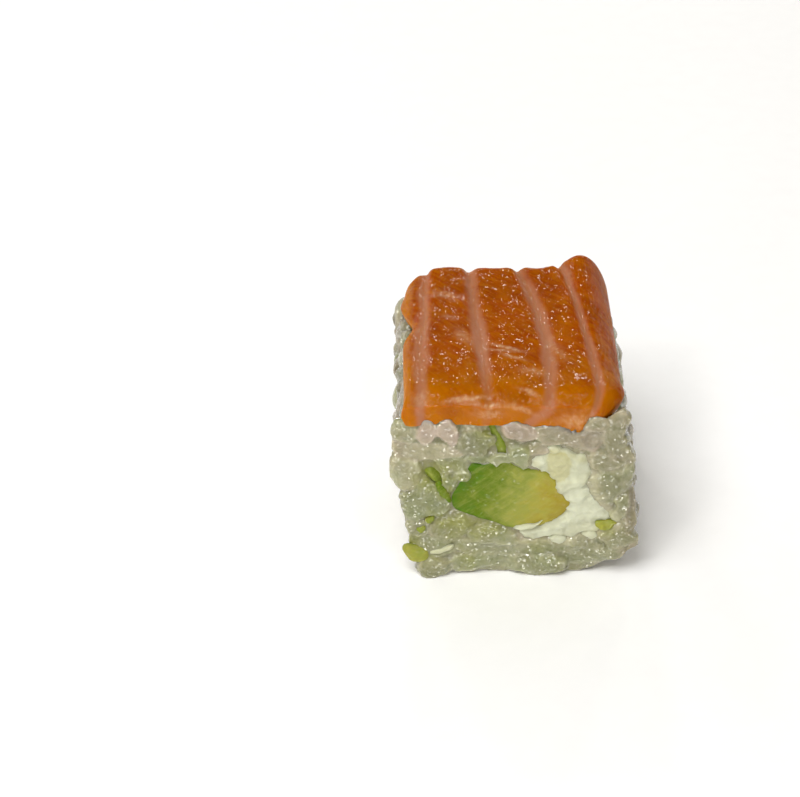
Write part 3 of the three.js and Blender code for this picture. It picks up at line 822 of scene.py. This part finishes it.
class SUSHI_OT_rice(bpy.types.Operator):
    """Presses the grains of rice into one mass round the fillings"""

    bl_idname = "sushi.rice"
    bl_label = "Rice"

    def execute(self, context):
        sizes, colours = chosen(context)
        plan = grain_plan(sizes)
        grains = plan["soft"] + plan["milky"] + plan["clear"]
        floor = HALF - RICE_BACK
        bm = bar(outline(RICE_SECTION, grow=-0.7), -(floor + FRONT_OUT), floor)
        for v in bm.verts:
            if v.co.z > 28.5:
                v.co.z += 1.0
            v.co.z = max(v.co.z, 0.1)
        for k, (at, along, out, size) in enumerate(grains):
            add_grain(bm, at, along, out, size, kink=0.12, pressed=0.22, seed=k)
        for k, row in enumerate(PRESSED_GRAINS):
            add_tile(bm, row[-1], -1, floor + FRONT_OUT, 0.8 * row[0], k)
        mesh = softened(fused(bm, sizes.rice_mesh / MM), 1, 0.8)

        def knead(co, normal):
            co += normal * rough(co, (0.22, 0.5), (0.12, 1.3), (0.04, 3.4))
            return knife_cut(co)

        mesh = worked(mesh, knead)
        cutters = []
        for section, front, grow in (
            (AVOCADO_SECTION, 17.0, -0.25),
            (CHEESE_SECTION, 16.75, -0.3),
            (SLIVER_SECTION, 18.4, -0.15),
        ):
            cutters.append(mesh_of(bar(outline(section, grow=grow), -front, HALF - 1.0)))
        slab = salmon_block(64, 30, 2)
        for v in slab.verts:
            v.co = salmon_point(v.co.x, (v.co.y + 1) / 2, (v.co.z + 1) / 2, 14.0)[0]
        cutters.append(mesh_of(slab))
        mesh = cut_away(mesh, *cutters)
        self.paint(mesh, grains)
        place_piece("rice_mass", mesh, rice_material(colours), "rice", "rice")
        return {"FINISHED"}

    def paint(self, mesh, grains):
        """Gives each grain its own milkiness and warmth, paler where grains meet, and round each
        pressed grain of the front cut a painted pale rim that stands in for light through its edge.
        """
        stream = random.Random(5)
        tree = KDTree(len(grains))
        own = []
        for k, grain in enumerate(grains):
            tree.insert(grain[0], k)
            own.append((stream.choice((0.1, 0.2, 0.3, 0.4, 0.55)), stream.uniform(0.4, 0.9)))
        tree.balance()
        tiles = traced(PRESSED_GRAINS)
        cheese = outline(CHEESE_SECTION)
        milkiness_and_painted_light, warmths, stains = [], [], []
        for v in mesh.vertices:
            x, y, z = v.co
            (_, first, near), (_, second, far) = tree.find_n(v.co, 2)
            shared = 0.5 * bell((far - near) / 0.4)
            milky = blend(own[first][0], own[second][0], shared) + 0.12 * bell((far - near) / 0.25)
            warm = blend(own[first][1], own[second][1], shared)
            front = step(-15.0, -16.0, y)
            if front:
                (tile_milky, tile_warm), rim = tile_values(tiles, x, z, (0.2, 0.4))
                film = 0.55 * bell(edge_distance(cheese, x, z) / 1.1)
                # rim adds a painted pale rim round each pressed grain, standing in for light
                # through its edge.
                milky = blend(milky, tile_milky + 0.35 * rim + film, front)
                warm = blend(warm, tile_warm, front)
            milkiness_and_painted_light.append(milky)
            warmths.append(warm)
            ragged = 1 + 0.5 * noise.noise(v.co * 0.9)
            clean = 1.0
            for share, a, b, radius in STAINS if front else ():
                clean *= 1 - share * bell(math.hypot(x - a, z - b) / (radius * ragged))
            stains.append(front * min(1 - clean, 0.85))
        tagged(mesh, stain=stains, tone=milkiness_and_painted_light, warmth=warmths)


class SUSHI_OT_grains(bpy.types.Operator):
    """Sets the single milky and clear grains into the rice"""

    bl_idname = "sushi.grains"
    bl_label = "Single grains"

    def execute(self, context):
        plan = grain_plan(context.scene.sushi_sizes)
        for kind, low, high in (("milky", 0.5, 0.8), ("clear", 0.1, 0.3)):
            bm = bmesh.new()
            tones, warmths = [], []
            stream = random.Random(len(kind))
            for k, (at, along, out, size) in enumerate(plan[kind]):
                grown, at = [s * 1.02 for s in size], at + out * 0.05
                made = add_grain(bm, at, along, out, grown, kink=0.08, pressed=0.2, seed=k + 0.5)
                for v in made:
                    v.co = knife_cut(v.co)
                tones += [stream.uniform(low, high)] * len(made)
                warmths += [stream.uniform(0.2, 0.6)] * len(made)
            mesh = mesh_of(bm)
            tagged(mesh, tone=tones, warmth=warmths)
            look = bpy.data.materials["cooked_rice_pressed"]
            place_piece("rice_grains_" + kind, mesh, look, "rice", "rice")
        return {"FINISHED"}


class SUSHI_OT_salmon(bpy.types.Operator):
    """Lays the slice of salmon over the rice"""

    bl_idname = "sushi.salmon"
    bl_label = "Salmon slice"

    def execute(self, context):
        sizes, colours = chosen(context)
        gap, long = sizes.salmon_mesh / MM, 2 * HALF
        bm = salmon_block(round(48 / gap), round(35 / gap), round(4.2 / gap))
        fat, scraped, golden, fibres = [], [], [], []
        for v in bm.verts:
            side, depth, level = v.co.x, (v.co.y + 1) / 2, (v.co.z + 1) / 2
            v.co, signed = salmon_point(side, depth, level)
            along = depth * long
            if depth in (0, 1):
                along += (1 - level) * SLICE_THICK * (1 if depth else -1)
            wander = 0.4 * noise.noise(Vector((signed * 0.3, along * 0.25, 3)))
            wander += 0.16 * noise.noise(Vector((signed * 1.1, along * 0.9, 8)))
            share = along / long
            most = 0.0
            for seam, widths, shows in zip(SEAMS, FAT_WIDTHS, FAT_SHOWS):
                away = abs(seam_distance(signed + wander, share, seam))
                away = away * seam[3] / along_row(widths, share)
                most = max(most, along_row(shows, share) * (1 - step(0.4, 1.6, away)))
            fat.append(most)
            scraped.append(self.scraped(signed, along))
            # Golder over the front of the slice and on its front cut; at the left edge, where the
            # slice turns down towards the light, the gold is a painted highlight.
            gold = 0.7 * step(0.4, 0.0, share) + 0.35 * step(0.0, -0.1, share)
            gold += 0.9 * step(-15.2, -17.5, signed)
            golden.append(clamp(gold + 0.5 * noise.noise(Vector((signed * 0.35, along * 0.35, 2)))))
            fibres.append(self.fibre(signed, along, depth))
        for v in bm.verts:
            v.co += v.normal * rough(v.co, (0.1, 0.5), (0.05, 1.5))
        layer = bm.loops.layers.uv.new("fibres")
        for face in bm.faces:
            for loop in face.loops:
                loop[layer].uv = fibres[loop.vert.index]
        mesh = mesh_of(bm)
        tagged(mesh, fat=fat, scraped=scraped, golden=golden)
        place_piece("salmon_slice", mesh, salmon_material(colours, sizes), "salmon", "salmon")
        return {"FINISHED"}

    def fibre(self, signed, along, depth):
        """Across and along the fibres in millimetres: each muscle slants its own way."""
        strip = sum(seam_distance(signed, depth, s) > 0 for s in SEAMS)
        lean = math.radians((46, 42, 44, 40, 50)[strip])
        bent = signed + 0.03 * (along - 17) ** 2 * (0.4 if strip == 2 else 0.15)
        across = bent * math.cos(lean) + along * math.sin(lean)
        return (across + 40 * strip, -bent * math.sin(lean) + along * math.cos(lean))

    def scraped(self, signed, along):
        """How pale a place is from streaks of white fat and painted sheen."""
        total = 0.0
        for x, y, lean, long, wide, show in FAT_AND_SHEEN_STREAKS:
            turn = math.radians(lean)
            dx, dy = signed - x, along - y
            far = (dx * math.cos(turn) + dy * math.sin(turn)) / long
            off = (dy * math.cos(turn) - dx * math.sin(turn)) / wide
            off += 0.8 * noise.noise(Vector((signed * 1.2, along * 1.2, 1)))
            uneven = 0.7 + 0.7 * noise.noise(Vector((signed * 2.5, along * 2.5, 5)))
            total += show * bell(far * 1.3) * bell(off * 1.2) * uneven
        return clamp(total, 0, 0.85)


class SUSHI_OT_avocado(bpy.types.Operator):
    """Cuts the avocado bar and its sliver"""

    bl_idname = "sushi.avocado"
    bl_label = "Avocado"

    def execute(self, context):
        sizes, colours = chosen(context)
        look = avocado_material(colours)
        for name, node, section, back, dome, shoulder in (
            ("avocado_bar", "avocado", AVOCADO_SECTION, AVOCADO_BACK, 0.3, 3.5),
            ("avocado_sliver_bar", "avocado_sliver", SLIVER_SECTION, SLIVER_BACK, 0.9, 1.2),
        ):
            curve, end = outline(section, 6), HALF - back
            mesh = fused(bar(curve, -end, end), sizes.filling_mesh / MM)

            def shave(co, normal):
                away = edge_distance(curve, co.x, co.z)
                if abs(co.y) > end - 0.4:
                    side = math.copysign(1, co.y)
                    rise = dome * step(0, shoulder, away) + 0.03 * co.x * step(0, 2, away)
                    drag = Vector((co.x * 0.35 - co.z * 0.3, co.z * 1.2 + co.x * 0.9, side))
                    co.y += side * (rise + 0.12 * noise.noise(drag))
                co += normal * rough(co, (0.08, 0.7), (0.03, 2.3))
                return co

            mesh = worked(softened(mesh, 1), shave)
            ripeness = []
            for v in mesh.vertices:
                if node == "avocado":
                    away = step(-9.0, 10.0, v.co.x + 0.25 * (15 - v.co.z))
                    rim = 0.16 * bell(edge_distance(curve, v.co.x, v.co.z) / 0.9) * (1 - away)
                    ripeness.append(0.05 + 0.62 * away - rim + 0.2 * step(22, 25, v.co.z))
                else:
                    ripeness.append(0.2)
            tagged(mesh, ripeness=ripeness)
            place_piece(name, mesh, look, "avocado", node)
        return {"FINISHED"}


class SUSHI_OT_cheese(bpy.types.Operator):
    """Presses the cream cheese in beside the avocado"""

    bl_idname = "sushi.cheese"
    bl_label = "Cream cheese"

    def execute(self, context):
        sizes, colours = chosen(context)
        curve, end = outline(CHEESE_SECTION, 5), HALF - CHEESE_BACK
        bm = bar(curve, -end, end)
        for face in (-1, 1):
            for k, (proud, _, corners) in enumerate(CHEESE_FOLDS):
                add_tile(bm, corners, face, end - 0.45, proud, k + 5 * face)
        mesh = softened(fused(bm, sizes.filling_mesh / MM), 1)

        def tear(co, normal):
            folds = abs(noise.noise(Vector((co.x * 0.5 - co.z * 0.3, co.y * 0.45, co.z * 0.8))))
            torn = 0.5 * (0.25 - folds) + 0.14 * noise.noise(co * 1.2)
            co += normal * (torn + 0.09 * noise.noise(co * 2.6))
            return knife_cut(co)

        mesh = worked(mesh, tear)
        beside = bar(outline(AVOCADO_SECTION, grow=0.02), -(HALF - 0.85), HALF - 0.85)
        mesh = cut_away(mesh, mesh_of(beside))
        tiles = traced(CHEESE_FOLDS)
        whey = []
        for v in mesh.vertices:
            edge = bell(edge_distance(curve, v.co.x, v.co.z) / 0.8)
            edge *= clamp(noise.noise(v.co * 0.5) * 1.4)
            (fold,), _ = tile_values(tiles, v.co.x, v.co.z, (0.1,))
            whey.append(clamp(fold * step(14.5, 16.0, abs(v.co.y)) + 0.7 * edge))
        tagged(mesh, whey=whey)
        look = cheese_material(colours)
        place_piece("cream_cheese_filling", mesh, look, "cream_cheese", "cream_cheese")
        return {"FINISHED"}


class SUSHI_OT_smears(bpy.types.Operator):
    """Adds what the knife dragged over the front cut"""

    bl_idname = "sushi.smears"
    bl_label = "Smears"

    # How proud and how ripe, or how yellowed with whey, each is, then its outline.
    AVOCADO = rows(2, [
        (0.9, 0.36, -16.8, 5.6, -16.2, 6, -15, 5.7, -13.8, 5.2, -12.9, 4.2, -12.8, 3.2, -13.8, 2.3,
         -15.2, 2.6, -16.5, 3.6),
        (0.75, 0.02, -11.4, 18.6, -9.9, 15.8, -9.8, 14.4, -11.1, 15.6, -12.1, 17.9),
        (0.65, 0.25, -14.9, 9.4, -13.8, 10, -13.6, 9.2, -14.3, 8.4),
        (0.6, 0.2, -13.6, 10.5, -12.4, 12, -12.1, 11.3, -13, 10.2),
        (0.3, 0.4, -7.9, 3.3, -6.1, 3.3, -5.9, 2.3, -7.3, 2),
        (0.6, 0.36, 12.2, 10.4, 13.4, 10.7, 15.5, 10.6, 14.7, 9.5, 13.3, 8.9, 12.5, 9.5),
    ])
    CHEESE = rows(2, [
        (0.55, 0.4, -13.1, 4.7, -11.9, 5.1, -10.7, 5.5, -9.5, 5.9, -9.4, 5.1, -10.7, 4.5,
         -11.9, 4.2, -13, 4),
        (0.6, 0.1, 0.1, 9.3, 1.4, 9.9, 2.8, 10.3, 4.2, 10.8, 3.3, 9.9, 2, 9.2, 0.9, 8.9),
        (0.5, 0, 5.2, 7.4, 6.4, 8, 7.8, 7.4, 7.2, 6.3, 6.2, 6.5),
        (0.5, 0.1, 10.2, 8.4, 11.4, 8.9, 12.6, 8, 11.8, 7.3, 10.8, 7.7),
    ])

    def execute(self, context):
        for name, table, slot, look, tag in (
            ("avocado_smears", self.AVOCADO, "avocado", "ripe_avocado_knife_cut", "ripeness"),
            ("cheese_smears", self.CHEESE, "cream_cheese", "cream_cheese_pressed", "whey"),
        ):
            bm = bmesh.new()
            for k, (proud, _, corners) in enumerate(table):
                add_tile(bm, corners, -1, HALF - 0.6, proud, k + 30, 0.5)
            mesh = softened(fused(bm, 0.2), 2)
            mesh = worked(mesh, lambda co, normal: co + normal * 0.12 * noise.noise(co * 1.4))
            tiles = traced(table)
            values = [tile_values(tiles, v.co.x, v.co.z, (0.4,))[0][0] for v in mesh.vertices]
            tagged(mesh, **{tag: values})
            place_piece(name, mesh, bpy.data.materials[look], slot)
        return {"FINISHED"}


class SUSHI_OT_stage(bpy.types.Operator):
    """Sets the table, the lights and the camera"""

    bl_idname = "sushi.stage"
    bl_label = "Table, lights and camera"

    def execute(self, context):
        scene, colours = context.scene, context.scene.sushi_colours
        bm = bmesh.new()
        bmesh.ops.create_grid(bm, x_segments=1, y_segments=1, size=1.5)
        table = bpy.data.objects.new("table_top", mesh_of(bm))
        table.data.materials.append(table_material(colours))
        scene.collection.objects.link(table)

        world = bpy.data.worlds.new("soft_room")
        world.use_nodes = True
        glow = world.node_tree.nodes["Background"].inputs
        glow[0].default_value, glow[1].default_value = linear("#ffffff"), 0.06
        scene.world = world
        middle = Vector((0, 0, 0.018))
        # Large soft panels, and small warmer lamps whose reflections are the sparkles.
        for name, place, size, power in (
            ("soft_panel", (-0.20, -0.24, 0.62), 0.45, 3.45),
            ("fill_right", (0.50, 0.50, 0.26), 0.6, 1.2),
            ("fill_left", (-0.52, 0.48, 0.26), 0.6, 1.2),
            ("lamp_left", (-0.30, -0.36, 0.55), 0.1, 0.5),
            ("lamp_right", (0.16, -0.36, 0.62), 0.1, 0.42),
            ("lamp_low_left", (-0.26, -0.64, 0.08), 0.11, 0.46),
            ("lamp_low_middle", (-0.05, -0.66, 0.16), 0.12, 0.5),
            ("lamp_low_right", (0.14, -0.68, 0.06), 0.14, 0.66),
            ("lamp_side_left", (-0.46, -0.50, 0.14), 0.12, 0.3),
            ("lamp_side_right", (0.30, -0.62, 0.12), 0.1, 0.34),
            ("lamp_back", (-0.06, 0.50, 0.42), 0.06, 0.34),
            ("lamp_far", (0.14, 0.52, 0.34), 0.06, 0.3),
            ("lamp_far_left", (-0.22, 0.48, 0.36), 0.06, 0.3),
            ("lamp_far_low", (0.08, 0.58, 0.26), 0.03, 0.07),
        ):
            lamp = bpy.data.lights.new(name, "AREA")
            lamp.shape, lamp.size, lamp.energy = "DISK", size, power
            lamp.color = linear("#fffaf2" if name.startswith("lamp") else "#ffffff")[:3]
            holder = bpy.data.objects.new(name, lamp)
            holder.location = place
            holder.rotation_euler = (middle - Vector(place)).to_track_quat("-Z", "Y").to_euler()
            scene.collection.objects.link(holder)

        camera = bpy.data.cameras.new("camera")
        camera.lens, camera.sensor_width = 91.3, 36
        camera.clip_start, camera.clip_end = 0.01, 10
        holder = bpy.data.objects.new("camera", camera)
        holder.location = (-0.0178, -0.24873, 0.21261)
        holder.rotation_euler = (math.radians(52.4), 0, 0)
        scene.collection.objects.link(holder)
        scene.camera = holder
        scene.view_settings.view_transform = "Standard"
        return {"FINISHED"}


class SUSHI_PT_roll(bpy.types.Panel):
    """Sizes, colours and steps of the roll"""

    bl_idname = "SUSHI_PT_roll"
    bl_label = "Maki sushi roll piece"
    bl_space_type = "VIEW_3D"
    bl_region_type = "UI"
    bl_category = "Sushi"

    def draw(self, context):
        for group in (context.scene.sushi_sizes, context.scene.sushi_colours):
            box = self.layout.box()
            for key in group.__annotations__:
                box.prop(group, key)
        for step_class in STEPS:
            self.layout.operator(step_class.bl_idname)


STEPS = (
    SUSHI_OT_rice, SUSHI_OT_grains, SUSHI_OT_salmon, SUSHI_OT_avocado, SUSHI_OT_cheese,
    SUSHI_OT_smears, SUSHI_OT_stage,
)
CLASSES = (SushiSizes, SushiColours, *STEPS, SUSHI_PT_roll)


def register():
    for made in CLASSES:
        bpy.utils.register_class(made)
    bpy.types.Scene.sushi_sizes = PointerProperty(type=SushiSizes)
    bpy.types.Scene.sushi_colours = PointerProperty(type=SushiColours)


def unregister():
    del bpy.types.Scene.sushi_colours
    del bpy.types.Scene.sushi_sizes
    for made in reversed(CLASSES):
        bpy.utils.unregister_class(made)


def main():
    register()
    bpy.ops.sushi.rice()
    bpy.ops.sushi.grains()
    bpy.ops.sushi.salmon()
    bpy.ops.sushi.avocado()
    bpy.ops.sushi.cheese()
    bpy.ops.sushi.smears()
    bpy.ops.sushi.stage()


if __name__ == "__main__":
    main()
